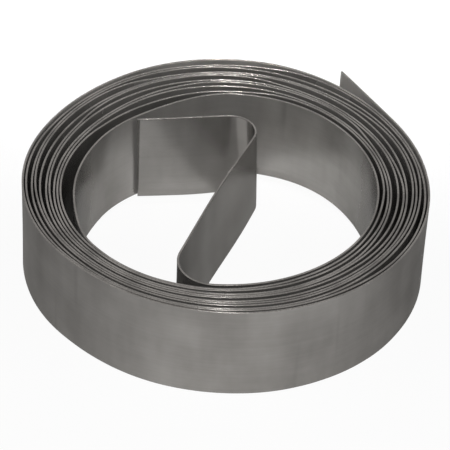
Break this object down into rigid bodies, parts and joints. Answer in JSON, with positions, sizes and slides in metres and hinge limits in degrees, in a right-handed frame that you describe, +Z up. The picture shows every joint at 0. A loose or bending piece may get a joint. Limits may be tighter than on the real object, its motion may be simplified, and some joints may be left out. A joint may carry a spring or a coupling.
{
  "type": "steel strap coil",
  "caption": "Loose coil of plain flat steel strap standing on its slit edges, its inner end folded across the bore and its outer end sprung off the coil.",
  "frame": {"origin": "on the floor under the middle of the coil's footprint", "axes": "+Z up along the coil's axis, +X towards the coil's right side and -Y towards the side the camera saw"},
  "size_m": [0.1582, 0.1604, 0.04],
  "materials": {
    "steel": "satin"
  },
  "bodies": {
    "root": {"strap": "steel"}
  },
  "joints": []
}
